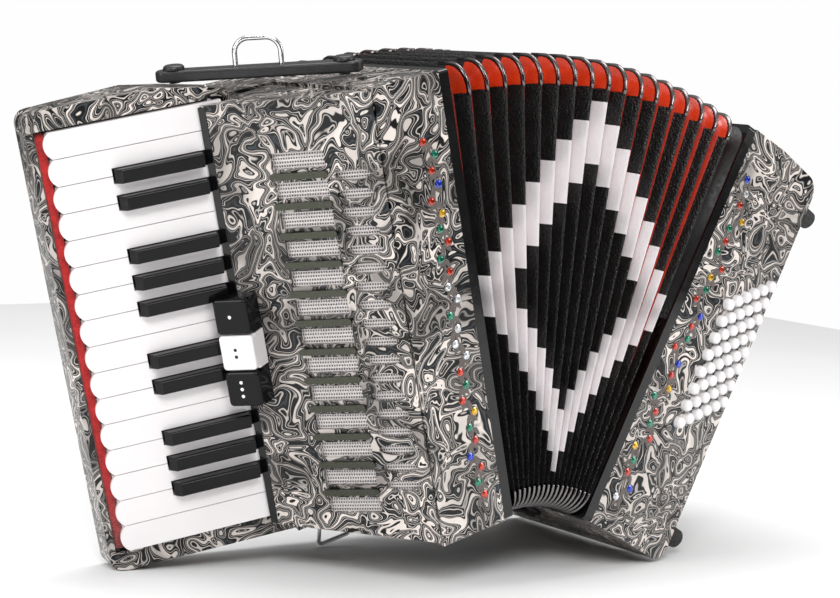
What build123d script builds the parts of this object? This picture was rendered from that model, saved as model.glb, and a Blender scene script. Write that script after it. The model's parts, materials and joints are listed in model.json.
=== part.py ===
from build123d import *
import os
from math import atan2, cos, degrees, radians, sin

# A 26-key, 48-bass piano accordion, standing on its two outer lower corners with the bellows
# fanned open at the top and held together at the bottom.
#
# Every sub-part is drawn in an upright local frame: x = 0 on the plane where the bellows start,
# z = 0 at the bottom edge of the bellows frames, y = 0 midway between front (-y) and back (+y).
# The treble side lies at x < 0, the bass side at x > 0. The fan's apex is a line parallel to y,
# FAN_RADIUS below each local origin, and fan_place() leans a local frame about that apex.

# ---- driving dimensions (millimetres, degrees) -------------------------------------------------
HEIGHT = 325.0            # bellows frames and casings, bottom to top
DEPTH = 180.0             # bellows frames and casings, front to back
FRONT = -DEPTH / 2
BACK = DEPTH / 2
WALL = 5.0                # wooden casing walls
MID_HEIGHT = HEIGHT / 2

FAN_RADIUS = 97.0         # apex to the bottom edge of every fold
FAN_ANGLE = 40.8          # between the treble's and the bass's bellows planes
PACKS = 5                 # moving fold packs, one for every third of the 17 folds
PACK_THICKNESS = 9.6
PACK_WALL = 24.0
PACK_GROOVE = 2.4
GROOVE_WIDTH = 1.2

FRAME_THICKNESS = 8.0     # black bellows frame on each side
FRAME_WALL = 22.0

CREASE_X = -63.0          # front corner where the casing's face turns into the grille
PALLETBOARD_X = -52.0
PALLETBOARD_THICKNESS = 6.0

KEY_COUNT = 16            # white keys, B to C
KEY_PITCH = 18.9
KEY_GAP = 0.5
KEY_LENGTH = 108.4        # visible length of a white key
KEY_THICKNESS = 12.0
KEY_TAIL = 16.0           # hidden length behind the grille's edge
KEY_TIP = 5.0             # how far the rounded front of a white key stands out
KEYBOARD_ANGLE = 19.7     # the keyboard slopes back by this angle
KEY_REAR_X = -130.0
KEY_REAR_Y = 23.0
KEYBOARD_Z = MID_HEIGHT + 11.0
BLACK_LENGTH = 65.0
BLACK_WIDTH = 10.0
BLACK_RISE = 9.0
BLACK_REAR = 4.0
NOTCH_WIDTH = (BLACK_WIDTH + 2 * KEY_GAP) / 2
AXLE_U = -9.0
AXLE_W = -7.0
AXLE_RADIUS = 1.5
AXLE_CLEARANCE = 0.05
PALLET_WIDTH = 8.0
PALLET_FRONT = -45.0
PALLET_BACK = -15.0
PALLET_THICKNESS = 4.0

TRAY_HALF = 166.0         # half length of the keyboard casing
TRAY_END = 118.0
TRAY_RAIL = 113.0
TRAY_FLOOR = -22.0
RAIL_TOP = -5.5
CHEEK_TOP = -4.0

GRILLE_SKIN = 3.0
CREASE_ROUND = 0.6        # the cover ends in a wedge at the crease, so it is only just rounded
COVER_SIDE_END = -60.0    # the cover's side wall stops here, clear of the key levers
GRILLE_RIM_ROUND = 0.8
POCKET_START = 7.5        # solid part of the cover beside the crease
GRILLE_EDGE_LIFT = 3.0    # grille's edge above the key surface
GRILLE_LOW = 2.0
GRILLE_HIGH = 323.0
GRILLE_TAPER = 15.0       # how much higher the grille's lower edge is at the keyboard
WINDOWS = 13
WINDOW_PITCH = 20.8
WINDOW_WIDTH = 40.0
WINDOW_HEIGHT = 11.5
WINDOW_S = 63.0           # window column, measured along the grille from the crease
WINDOW_Z = 156.0
BAR_HEIGHT = 4.6
BAR_THICKNESS = 2.4
SLOTS = 18
SLOT_PITCH = 13.1
SLOT_LENGTH = 27.0
SLOT_HEIGHT = 8.0
SLOT_S = 24.0
SLOT_Z = 157.0

SWITCHES = 3
SWITCH_PITCH = 26.2
SWITCH_Z = 152.5
SWITCH_HEIGHT = 25.2
SWITCH_BASE = 20.0        # length of the switch's foot along the grille
SWITCH_OVERHANG = 6.0     # how far its cap reaches over the keys
SWITCH_CAP_LIFT = 15.5    # cap above the grille, clear of the black keys
SWITCH_CAP = 6.0
SWITCH_CLEARANCE = 2.6    # foot above the grille, more than the switch's travel

BASS_THICKNESS = 102.0
PANEL_START = 44.0        # button panel, from here to the outer face
PANEL_SLOPE = 11.0
BASS_CORNER = 14.0
BASS_BOARD_X = 37.0       # inner board that carries the bass reed blocks
BASS_BOARD = 4.5
BUTTON_ROWS = 6
BUTTONS_PER_ROW = 8
BUTTON_PITCH = 14.1
BUTTON_ROW_SPACING = 8.6
BUTTON_ROW_SHIFT = 6.8
BUTTON_RADIUS = 4.5
BUTTON_HOLE_CLEARANCE = 0.3
BUTTON_RISE = 6.0
BUTTON_STEM = 12.0
BUTTON_CROWN = 3.0
FIRST_ROW_X = 51.0
FIRST_BUTTON_Z = 99.0

FOOT_RADIUS = 8.5
FOOT_HEIGHT = 17.0
FOOT_TAPER = 4.0
FOOT_SPREAD_Y = 144.0
FOOT_SPREAD_Z = 276.0

BAR_WIDTH = 16.0          # shoulder strap bar on top of the treble casing
BAR_DEPTH = 8.0

NEAR = 0.01               # how close an edge has to be to a plane to be picked
FIT_GAP = 0.3             # between round parts that fit into each other


# ---- placing -----------------------------------------------------------------------------------
def keyboard_plane(z):
    """Side view of the keyboard: local x runs outward along the keys, local y up off their surface."""
    turn = radians(KEYBOARD_ANGLE)
    return Plane(origin=(KEY_REAR_X, KEY_REAR_Y, z), x_dir=(-cos(turn), sin(turn), 0), z_dir=(0, 0, 1))


def key_top_plane(z, lift=0.0):
    """The key surface seen from the front: local x runs outward along the keys, local y downwards."""
    turn = radians(KEYBOARD_ANGLE)
    normal = Vector(-sin(turn), -cos(turn), 0)
    origin = Vector(KEY_REAR_X, KEY_REAR_Y, z) + normal * lift
    return Plane(origin=origin, x_dir=(-cos(turn), sin(turn), 0), z_dir=normal)


def keyboard_point(u, w):
    """A point of the keyboard's side view, as x, y of the upright frame."""
    p = keyboard_plane(0).from_local_coords((u, w, 0))
    return (p.X, p.Y)


GRILLE_EDGE = keyboard_point(0, GRILLE_EDGE_LIFT)
GRILLE_RUN = (Vector(*GRILLE_EDGE, 0) - Vector(CREASE_X, FRONT, 0))
GRILLE_DIR = GRILLE_RUN.normalized()
GRILLE_NORMAL = Vector(0, 0, 1).cross(GRILLE_DIR)


def grille_plane(z, lift=0.0):
    """The grille seen from the front: local x runs from the crease to the keyboard, local y along z."""
    origin = Vector(CREASE_X, FRONT, z) + GRILLE_NORMAL * lift
    return Plane(origin=origin, x_dir=GRILLE_DIR, z_dir=GRILLE_NORMAL)


def panel_plane(z, lift=0.0):
    """The bass button panel: local x runs outward across the rows, local y along z."""
    turn = atan2(PANEL_SLOPE, BASS_THICKNESS - PANEL_START)
    normal = Vector(sin(turn), -cos(turn), 0)
    origin = Vector(PANEL_START, FRONT, z) + normal * lift
    return Plane(origin=origin, x_dir=(cos(turn), sin(turn), 0), z_dir=normal)


# The outer lower corners of the two sides meet the ground together at this lean of the treble side.
TREBLE_CORNER_X = keyboard_point(TRAY_END, RAIL_TOP)[0]
TREBLE_CORNER_Z = KEYBOARD_Z - TRAY_HALF
TREBLE_RISE = FAN_RADIUS + TREBLE_CORNER_Z
FAN = radians(FAN_ANGLE)
TREBLE_LEAN = degrees(
    atan2(
        TREBLE_RISE - FAN_RADIUS * cos(FAN) + BASS_THICKNESS * sin(FAN),
        -TREBLE_CORNER_X + FAN_RADIUS * sin(FAN) + BASS_THICKNESS * cos(FAN),
    )
)


def fan_place(share):
    """Leans a local frame about the apex: share 0 is the treble's plane, 1 the bass's plane."""
    return Location((0, 0, 0), (0, share * FAN_ANGLE - TREBLE_LEAN, 0)) * Location((0, 0, FAN_RADIUS))


finished = []             # (sub-part, place) pairs, written at the end


def finish(part, name, share):
    part.label = name
    finished.append((part, fan_place(share)))


# ---- treble casing -----------------------------------------------------------------------------
TRAY_LOW = KEYBOARD_Z - TRAY_HALF
TRAY_HIGH = KEYBOARD_Z + TRAY_HALF
KEYS_HALF = KEY_COUNT * KEY_PITCH / 2
CHEEK_GAP = 1.0           # between a cheek and the nearest key
CHEEK = TRAY_HALF - KEYS_HALF - CHEEK_GAP
CHEEK_FOOT = 1.0          # how far a cheek reaches below the rail's top
TRAY_INNER = -22.0        # inner end of the tray along the keys
TRAY_BACK_INNER = (-86.0, BACK)
TRAY_BACK_FLARE = 4.0
TRAY_BACK_OUTER = (TREBLE_CORNER_X + TRAY_BACK_FLARE, BACK)
TRAY_CORNER = 9.0
BACK_WALL_END = -95.0
END_BOARD_SIDE = 31.0     # where the casing's end boards meet the keyboard casing
END_BOARD_REACH = -105.0
END_BOARD_REAR = 60.0
TOP_SLOPE_END = -152.0    # the keyboard casing's top slopes between these places
TOP_SLOPE_MIDDLE = -120.0
TOP_SLOPE_START = -84.0
TOP_SLOPE_DROP = 6.0
OVERCUT = 5.0             # how far a cut reaches beyond the surface
AXLE_INSET = 4.0          # the axle stops this far inside the keyboard casing's ends
PORT_LENGTH = 20.0
PORT_HEIGHT = 4.5

# name, centre height, and whether it is black, from the top of the keyboard to the bottom
WHITE_NAMES = "B C D E F G A B C D E F G A B C".split()
keys = []
for place in range(KEY_COUNT):
    white_z = KEYBOARD_Z + KEYS_HALF - (place + 0.5) * KEY_PITCH
    keys.append((f"white_key_{place + 1:02d}_{WHITE_NAMES[place].lower()}", white_z, False, place))
for place in range(KEY_COUNT - 1):
    if WHITE_NAMES[place] in "CDFGA":
        black_z = KEYBOARD_Z + KEYS_HALF - (place + 1) * KEY_PITCH
        keys.append((f"black_key_{place + 1:02d}_{WHITE_NAMES[place].lower()}_sharp", black_z, True, place))

with BuildPart() as treble_casing:
    with BuildSketch(Plane.XY):
        with Locations(((CREASE_X - FRAME_THICKNESS) / 2, FRONT + WALL / 2)):
            Rectangle(-CREASE_X - FRAME_THICKNESS, WALL)
        with Locations(((BACK_WALL_END - FRAME_THICKNESS) / 2, BACK - WALL / 2)):
            Rectangle(-BACK_WALL_END - FRAME_THICKNESS, WALL)
    extrude(amount=HEIGHT)
    with BuildSketch(Plane.XY):
        with Locations((PALLETBOARD_X + PALLETBOARD_THICKNESS / 2, 0)):
            Rectangle(PALLETBOARD_THICKNESS, DEPTH)
    extrude(amount=HEIGHT)
    for level in (0, HEIGHT - WALL):
        with BuildSketch(Plane.XY.offset(level)):
            with BuildLine():
                Polyline(
                    (-FRAME_THICKNESS, FRONT), (CREASE_X, FRONT), (CREASE_X, END_BOARD_SIDE),
                    (END_BOARD_REACH, END_BOARD_SIDE),
                    (BACK_WALL_END, END_BOARD_REAR), (BACK_WALL_END, BACK), (-FRAME_THICKNESS, BACK),
                    close=True,
                )
            make_face()
        extrude(amount=WALL)
    with BuildSketch(Plane.XY.offset(TRAY_LOW)):
        with BuildLine():
            Polyline(
                keyboard_point(TRAY_INNER, TRAY_FLOOR), keyboard_point(TRAY_RAIL, TRAY_FLOOR),
                keyboard_point(TRAY_RAIL, RAIL_TOP), keyboard_point(TRAY_END, RAIL_TOP),
                TRAY_BACK_OUTER, TRAY_BACK_INNER, close=True,
            )
        make_face()
    extrude(amount=2 * TRAY_HALF)
    for level in (TRAY_LOW, TRAY_HIGH - CHEEK):
        with BuildSketch(Plane.XY.offset(level)):
            with BuildLine():
                Polyline(
                    keyboard_point(TRAY_INNER, CHEEK_TOP), keyboard_point(TRAY_END, CHEEK_TOP),
                    keyboard_point(TRAY_END, RAIL_TOP - CHEEK_FOOT), TRAY_BACK_OUTER, TRAY_BACK_INNER,
                    close=True,
                )
            make_face()
        extrude(amount=CHEEK)
    # the keyboard casing's top falls away to the level of the treble casing's top
    with BuildSketch(Plane.XZ):
        with BuildLine():
            Polyline(
                (TOP_SLOPE_END, TRAY_HIGH), (TOP_SLOPE_MIDDLE, TRAY_HIGH - TOP_SLOPE_DROP),
                (TOP_SLOPE_START, HEIGHT + NEAR), (-FRAME_THICKNESS, HEIGHT + NEAR),
                (-FRAME_THICKNESS, TRAY_HIGH + OVERCUT), (TOP_SLOPE_END, TRAY_HIGH + OVERCUT), close=True,
            )
        make_face()
    extrude(amount=DEPTH, both=True, mode=Mode.SUBTRACT)
    tray_corners = treble_casing.edges().filter_by(
        lambda e: e.center().X < TREBLE_CORNER_X + 8
        and (abs(e.center().Z - TRAY_LOW) < NEAR or abs(e.center().Z - TRAY_HIGH) < NEAR)
        and abs(e.tangent_at(0.5).Z) < NEAR
        and abs(e.tangent_at(0.5).X) < 0.5
    )
    fillet(tray_corners, radius=TRAY_CORNER)
    # bearings of the key axle in both cheeks
    with BuildSketch(keyboard_plane(TRAY_LOW + AXLE_INSET)):
        with Locations((AXLE_U, AXLE_W)):
            Circle(AXLE_RADIUS + AXLE_CLEARANCE)
    extrude(amount=2 * (TRAY_HALF - AXLE_INSET), mode=Mode.SUBTRACT)
    # ports under the pallets
    with BuildSketch(Plane.YZ.offset(PALLETBOARD_X)):
        with Locations([((PALLET_FRONT + PALLET_BACK) / 2, key[1]) for key in keys]):
            Rectangle(PORT_LENGTH, PORT_HEIGHT)
    extrude(amount=PALLETBOARD_THICKNESS, mode=Mode.SUBTRACT)
finish(treble_casing.part, "treble_casing", 0)


# ---- bellows frames ----------------------------------------------------------------------------
FRAME_CORNER = 3.0


def bellows_frame(x_low):
    with BuildPart() as ring:
        with BuildSketch(Plane.YZ.offset(x_low)):
            with Locations((0, MID_HEIGHT)):
                Rectangle(DEPTH, HEIGHT)
                Rectangle(DEPTH - 2 * FRAME_WALL, HEIGHT - 2 * FRAME_WALL, mode=Mode.SUBTRACT)
        extrude(amount=FRAME_THICKNESS)
        outer_edges = ring.edges().filter_by(
            lambda e: abs(abs(e.center().Y) - BACK) < NEAR
            or abs(abs(e.center().Z - MID_HEIGHT) - MID_HEIGHT) < NEAR
        )
        fillet(outer_edges.filter_by(Axis.X), radius=FRAME_CORNER)
    return ring.part


finish(bellows_frame(-FRAME_THICKNESS), "treble_bellows_frame", 0)
finish(bellows_frame(0), "bass_bellows_frame", 1)


# ---- grille cover with its mesh, bars and register switches --------------------------------------
GRILLE_LENGTH = GRILLE_RUN.length
COVER_GAP = 0.6           # between the cover and the treble casing's front corner
COVER_REAR = (keyboard_point(-2, 1.0), keyboard_point(TRAY_INNER, 1.5))
COVER_BACK_X = -99.0
COVER_BACK_Y = 30.0
TAPER_OVERRUN = 30.0      # how far the cut under the cover reaches past its two edges
TAPER_DEPTH = 60.0
COVER_RIM = 1.5           # thickness of the cover's edge beside the keys
POCKET_REAR = 60.0
GRILLE_UP = grille_plane(0).y_dir.Z
MESH_MARGIN = 4.0         # how far the mesh reaches past a window's end
MESH_GAP = 0.2
MESH_THICKNESS = 0.8
BAR_LIFT = 0.5

with BuildPart() as grille_cover:
    with BuildSketch(Plane.XY.offset(GRILLE_LOW)):
        with BuildLine():
            Polyline(
                (CREASE_X - COVER_GAP, FRONT), GRILLE_EDGE, *COVER_REAR,
                (COVER_BACK_X, COVER_BACK_Y), (CREASE_X - COVER_GAP, COVER_BACK_Y), close=True,
            )
        make_face()
    extrude(amount=GRILLE_HIGH - GRILLE_LOW)
    # the lower edge rises towards the keyboard
    with BuildSketch(grille_plane(GRILLE_LOW)):
        with BuildLine():
            taper_end = GRILLE_LENGTH + TAPER_OVERRUN
            Polyline(
                (-TAPER_OVERRUN, -TAPER_OVERRUN * GRILLE_UP), (0, 0),
                (taper_end, taper_end * GRILLE_TAPER / GRILLE_LENGTH * GRILLE_UP),
                (taper_end, -TAPER_DEPTH * GRILLE_UP), close=True,
            )
        make_face()
    extrude(amount=DEPTH, both=True, mode=Mode.SUBTRACT)
    crease_edge = grille_cover.edges().filter_by(Axis.Z).sort_by(Axis.Y)[0]
    fillet(crease_edge, radius=CREASE_ROUND)
    panel_face = grille_cover.faces().sort_by_distance(
        grille_plane(MID_HEIGHT).from_local_coords((GRILLE_LENGTH / 2, 0, 0))
    )[0]
    rim = panel_face.edges().filter_by(lambda e: abs(e.tangent_at(0.5).Z) < 0.5)
    fillet(rim, radius=GRILLE_RIM_ROUND)
    with BuildSketch(Plane.XY.offset(GRILLE_LOW + GRILLE_SKIN + GRILLE_TAPER)):
        with BuildLine():
            inner_start = Vector(CREASE_X, FRONT, 0) - GRILLE_NORMAL * GRILLE_SKIN + GRILLE_DIR * POCKET_START
            inner_end = Vector(*GRILLE_EDGE, 0) - GRILLE_NORMAL * GRILLE_SKIN - GRILLE_DIR * COVER_RIM
            Polyline(
                (inner_start.X, inner_start.Y), (inner_end.X, inner_end.Y), (inner_end.X, POCKET_REAR),
                (PALLETBOARD_X, POCKET_REAR), (PALLETBOARD_X, COVER_SIDE_END),
                (inner_start.X, COVER_SIDE_END), close=True,
            )
        make_face()
    extrude(amount=GRILLE_HIGH - GRILLE_LOW - 2 * GRILLE_SKIN - GRILLE_TAPER, mode=Mode.SUBTRACT)
    with BuildSketch(grille_plane(WINDOW_Z, 1)):
        with Locations((WINDOW_S, 0)):
            with GridLocations(0, WINDOW_PITCH, 1, WINDOWS):
                Rectangle(WINDOW_WIDTH, WINDOW_HEIGHT)
    extrude(amount=-GRILLE_SKIN - OVERCUT, mode=Mode.SUBTRACT)
    with BuildSketch(grille_plane(SLOT_Z, 1)):
        with Locations((SLOT_S, 0)):
            with GridLocations(0, SLOT_PITCH, 1, SLOTS):
                Ellipse(SLOT_LENGTH / 2, SLOT_HEIGHT / 2)
    extrude(amount=-GRILLE_SKIN - OVERCUT, mode=Mode.SUBTRACT)
finish(grille_cover.part, "grille_cover", 0)

with BuildPart() as grille_mesh:
    with BuildSketch(grille_plane(WINDOW_Z, -GRILLE_SKIN - MESH_GAP)):
        with Locations((WINDOW_S, 0)):
            Rectangle(WINDOW_WIDTH + 2 * MESH_MARGIN, WINDOWS * WINDOW_PITCH)
        with Locations((SLOT_S, 0)):
            Rectangle(SLOT_LENGTH + 2, WINDOWS * WINDOW_PITCH)
    extrude(amount=-MESH_THICKNESS)
finish(grille_mesh.part, "grille_mesh", 0)

with BuildPart() as grille_bars:
    with BuildSketch(grille_plane(WINDOW_Z, BAR_LIFT)):
        with Locations((WINDOW_S, 0)):
            with GridLocations(0, WINDOW_PITCH, 1, WINDOWS - 1):
                RectangleRounded(WINDOW_WIDTH + 3, BAR_HEIGHT, BAR_HEIGHT / 2 - 0.1)
    extrude(amount=BAR_THICKNESS)
finish(grille_bars.part, "grille_bars", 0)

for number in range(SWITCHES):
    switch_z = SWITCH_Z + (1 - number) * SWITCH_PITCH
    with BuildPart() as register_switch:
        with BuildSketch(grille_plane(switch_z, SWITCH_CAP_LIFT)):
            with Locations((GRILLE_LENGTH + (SWITCH_OVERHANG - SWITCH_BASE) / 2, 0)):
                RectangleRounded(SWITCH_BASE + SWITCH_OVERHANG, SWITCH_HEIGHT, 3)
        extrude(amount=SWITCH_CAP)
        cap_top = register_switch.faces().sort_by(Axis(origin=(0, 0, 0), direction=GRILLE_NORMAL))[-1]
        fillet(cap_top.edges(), radius=2)
        with BuildSketch(grille_plane(switch_z, SWITCH_CLEARANCE)):
            with Locations((GRILLE_LENGTH - SWITCH_BASE / 2 - 1, 0)):
                Rectangle(SWITCH_BASE - 2, SWITCH_HEIGHT)
        extrude(amount=SWITCH_CAP_LIFT - SWITCH_CLEARANCE)
    finish(register_switch.part, f"register_switch_{number + 1}", 0)


# ---- keyboard ------------------------------------------------------------------------------------
LEVER_HALF = 2.0          # half width of a key's lever
LEVER_START = -10.0       # along the keys, where the lever leaves the key
LEVER_ROOT = -13.0
LEVER_KNEE = (-57.0, -24.0)
LEVER_NOSE_X = -61.0
LEVER_NOSE_Y = -36.0
PALLET_GAP = 0.1
PALLET_X = PALLETBOARD_X - PALLET_GAP - PALLET_THICKNESS / 2
PALLET_Y = (PALLET_FRONT + PALLET_BACK) / 2
PALLET_BLOCK_X = -57.6
PALLET_BLOCK_WIDTH = 5.0
PALLET_BLOCK_LENGTH = 12.0
KEY_LIP = 3.0             # thin plate that stands out under a white key's tip
KEY_LIP_DROP = 3.6
BLACK_SLOPE = 4.5         # length of the sloping end of a black key
BLACK_FOOT = 2.0
BLACK_ROUND = 1.6
NOTCH_END = BLACK_LENGTH + 1.2


def lever_and_pallet(z):
    """A key's hidden half: a lever forward from the axle to a pallet over the palletboard's port."""
    with BuildPart() as lever:
        with BuildSketch(Plane.XY.offset(z)):
            with BuildLine():
                Polyline(
                    keyboard_point(LEVER_START, -1), keyboard_point(LEVER_ROOT, -KEY_THICKNESS + 1),
                    LEVER_KNEE, (LEVER_KNEE[0], LEVER_NOSE_Y), (LEVER_NOSE_X, LEVER_NOSE_Y), close=True,
                )
            make_face()
        extrude(amount=LEVER_HALF, both=True)
        with BuildSketch(Plane.XY.offset(z)):
            with Locations((PALLET_X, PALLET_Y)):
                Rectangle(PALLET_THICKNESS, PALLET_BACK - PALLET_FRONT)
        extrude(amount=PALLET_WIDTH / 2, both=True)
        with BuildSketch(Plane.XY.offset(z)):
            with Locations((PALLET_BLOCK_X, PALLET_Y)):
                Rectangle(PALLET_BLOCK_WIDTH, PALLET_BLOCK_LENGTH)
        extrude(amount=LEVER_HALF, both=True)
    return lever.part


def axle_hole(z):
    with BuildPart() as hole:
        with BuildSketch(keyboard_plane(z)):
            with Locations((AXLE_U, AXLE_W)):
                Circle(AXLE_RADIUS + AXLE_CLEARANCE)
        extrude(amount=KEY_PITCH, both=True)
    return hole.part


def white_key(z, notch_above, notch_below):
    width = KEY_PITCH - KEY_GAP
    shoulder = KEY_LENGTH - KEY_TIP
    tail = KEY_TAIL + 1
    lever = lever_and_pallet(z)
    hole = axle_hole(z)
    with BuildPart() as key:
        with BuildSketch(keyboard_plane(z)):
            with BuildLine():
                Polyline(
                    (-KEY_TAIL, 0), (KEY_LENGTH, 0), (KEY_LENGTH, -KEY_LIP),
                    (KEY_LENGTH - KEY_LIP, -KEY_LIP_DROP), (KEY_LENGTH - KEY_LIP, -KEY_THICKNESS),
                    (-KEY_TAIL, -KEY_THICKNESS), close=True,
                )
            make_face()
        extrude(amount=width / 2, both=True)
        with BuildSketch(key_top_plane(z, 1)):
            with BuildLine():
                ThreePointArc((shoulder, width / 2), (KEY_LENGTH, 0), (shoulder, -width / 2))
                Polyline(
                    (shoulder, -width / 2), (-tail, -width / 2), (-tail, width / 2), (shoulder, width / 2),
                )
            make_face()
            for wanted, side in ((notch_above, -1), (notch_below, 1)):
                if wanted:
                    with Locations(((NOTCH_END - tail) / 2, side * (KEY_PITCH - NOTCH_WIDTH) / 2)):
                        Rectangle(NOTCH_END + tail, NOTCH_WIDTH, mode=Mode.SUBTRACT)
        extrude(amount=-KEY_THICKNESS - 2, mode=Mode.INTERSECT)
        add(lever)
        add(hole, mode=Mode.SUBTRACT)
    return key.part


def black_key(z):
    lever = lever_and_pallet(z)
    hole = axle_hole(z)
    with BuildPart() as key:
        with BuildSketch(keyboard_plane(z)):
            with BuildLine():
                Polyline(
                    (-KEY_TAIL, 0), (BLACK_REAR, 0), (BLACK_REAR, BLACK_RISE),
                    (BLACK_LENGTH - BLACK_SLOPE, BLACK_RISE), (BLACK_LENGTH, BLACK_FOOT),
                    (BLACK_LENGTH, -KEY_THICKNESS), (-KEY_TAIL, -KEY_THICKNESS), close=True,
                )
            make_face()
        extrude(amount=BLACK_WIDTH / 2, both=True)
        long_edges = key.edges().filter_by(
            lambda e: abs(e.tangent_at(0.5).Z) < NEAR
            and e.length > BLACK_LENGTH / 2
            and e.center().Y < keyboard_point(BLACK_LENGTH / 2, BLACK_RISE - 2)[1]
        )
        fillet(long_edges, radius=BLACK_ROUND)
        add(lever)
        add(hole, mode=Mode.SUBTRACT)
    return key.part


black_places = {key[3] for key in keys if key[2]}
for name, z, is_black, place in keys:
    if is_black:
        finish(black_key(z), name, 0)
    else:
        finish(white_key(z, place - 1 in black_places, place in black_places), name, 0)

with BuildPart() as key_axle:
    with BuildSketch(keyboard_plane(TRAY_LOW + AXLE_INSET)):
        with Locations((AXLE_U, AXLE_W)):
            Circle(AXLE_RADIUS)
    extrude(amount=2 * (TRAY_HALF - AXLE_INSET))
finish(key_axle.part, "key_axle", 0)

REED_BOARD_X = PALLETBOARD_X + PALLETBOARD_THICKNESS
REED_BLOCK_SPACING = 56.0
REED_BLOCK_RISE = 30.0
REED_BLOCK_WIDTH = 18.0
REED_BLOCK_END_GAP = 12.0
REED_PLATES = 14
REED_PLATE_PITCH = 19.0
REED_PLATE_LENGTH = 24.0
REED_PLATE_WIDTH = 15.0
REED_PLATE_THICKNESS = 1.6

with BuildPart() as treble_reed_blocks:
    for block_y in (-REED_BLOCK_SPACING, 0, REED_BLOCK_SPACING):
        with BuildSketch(Plane.XY.offset(WALL + REED_BLOCK_END_GAP)):
            with Locations((REED_BOARD_X + REED_BLOCK_RISE / 2, block_y)):
                Rectangle(REED_BLOCK_RISE, REED_BLOCK_WIDTH)
        extrude(amount=HEIGHT - 2 * (WALL + REED_BLOCK_END_GAP))
        for side in (-1, 1):
            with BuildSketch(Plane.XZ.offset(-block_y - side * REED_BLOCK_WIDTH / 2)):
                with Locations((REED_BOARD_X + REED_BLOCK_RISE / 2 + 1, MID_HEIGHT)):
                    with GridLocations(0, REED_PLATE_PITCH, 1, REED_PLATES):
                        Rectangle(REED_PLATE_LENGTH, REED_PLATE_WIDTH)
            extrude(amount=-side * REED_PLATE_THICKNESS)
finish(treble_reed_blocks.part, "treble_reed_blocks", 0)


# ---- shoulder strap fittings on the treble side ---------------------------------------------------
BAR_REAR = Vector(-137, 62, HEIGHT + 14.3)       # underside of the bar above the keyboard casing
BAR_FRONT = Vector(-28, -32, HEIGHT + 2.5)       # and above the treble casing's top
BAR_RUN = BAR_REAR - BAR_FRONT
BAR_DIR = BAR_RUN.normalized()
BAR_UP = (Vector(0, 0, 1) - BAR_DIR * BAR_DIR.Z).normalized()
STRAP_BAR_PLANE = Plane(origin=(BAR_REAR + BAR_FRONT) * 0.5, x_dir=BAR_DIR, z_dir=BAR_UP)
BAR_ROUND = 2.0
SCREW_OFFSET = BAR_RUN.length / 2 - 13
SCREW_SHANK = 3.9
SCREW_HEAD = 7.5
SCREW_HEAD_HEIGHT = 3.2
SCREW_HEAD_ROUND = 2.6
REAR_POST = 1.2
FRONT_POST = 1.6
RING_WIRE = 1.8
RING_HALF = 16.0
RING_RISE = 27.0
RING_SOCKET = 3.0
RING_BEND = 10.0

with BuildPart() as strap_bar:
    with BuildSketch(STRAP_BAR_PLANE):
        SlotOverall(BAR_RUN.length, BAR_WIDTH)
    extrude(amount=BAR_DEPTH)
    fillet(strap_bar.faces().sort_by(Axis.Z)[-1].edges(), radius=BAR_ROUND)
    with BuildSketch(STRAP_BAR_PLANE.offset(-1)):
        with Locations((-SCREW_OFFSET, 0), (SCREW_OFFSET, 0)):
            Circle(SCREW_SHANK + FIT_GAP)
    extrude(amount=BAR_DEPTH + OVERCUT, mode=Mode.SUBTRACT)
    with BuildSketch(STRAP_BAR_PLANE.offset(RING_SOCKET - 0.5)):
        with Locations((-RING_HALF, 0), (RING_HALF, 0)):
            Circle(RING_WIRE + FIT_GAP)
    extrude(amount=BAR_DEPTH, mode=Mode.SUBTRACT)
finish(strap_bar.part, "shoulder_strap_bar", 0)

with BuildPart() as strap_bar_screws:
    for screw_x, post in ((-SCREW_OFFSET, FRONT_POST), (SCREW_OFFSET, REAR_POST)):
        with BuildSketch(STRAP_BAR_PLANE.offset(-post)):
            with Locations((screw_x, 0)):
                Circle(SCREW_SHANK)
        extrude(amount=BAR_DEPTH + post + 0.6)
        with BuildSketch(STRAP_BAR_PLANE.offset(BAR_DEPTH + FIT_GAP)):
            with Locations((screw_x, 0)):
                Circle(SCREW_HEAD)
        extrude(amount=SCREW_HEAD_HEIGHT)
    head_tops = strap_bar_screws.faces().sort_by(Axis(origin=(0, 0, 0), direction=BAR_UP))[-2:]
    fillet(head_tops.edges(), radius=SCREW_HEAD_ROUND)
finish(strap_bar_screws.part, "shoulder_strap_bar_screws", 0)


def ring_point(along, rise):
    return STRAP_BAR_PLANE.from_local_coords((along, 0, rise))


with BuildPart() as upper_strap_ring:
    with BuildLine():
        FilletPolyline(
            ring_point(-RING_HALF, RING_SOCKET), ring_point(-RING_HALF, RING_RISE),
            ring_point(RING_HALF, RING_RISE), ring_point(RING_HALF, RING_SOCKET), radius=RING_BEND,
        )
    with BuildSketch(Plane(origin=ring_point(-RING_HALF, RING_SOCKET), z_dir=BAR_UP)):
        Circle(RING_WIRE)
    sweep()
finish(upper_strap_ring.part, "upper_strap_ring", 0)

# Lower ring: a wire loop that swings on a lug under the treble casing, near its back.
LUG_X = -53.0
LUG_Y = 68.0
LUG_FOOT = -0.2
LUG_LOW = -12.0
LUG_HALF = 4.0
LUG_PLATE_HALF = 14.0
LUG_PLATE = 2.0
LUG_NECK = 7.0
LUG_NECK_Z = LUG_FOOT - 2.6
LUG_TIP = 4.5
EYE_Z = -8.0
EYE_RADIUS = 2.2
LOWER_WIRE = 1.6
LOWER_DROP = 25.0
LOWER_HALF = 15.0
LOWER_TOP = 8.5
WIRE_JOINT = 0.2          # gap where the wire's two ends meet

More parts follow.
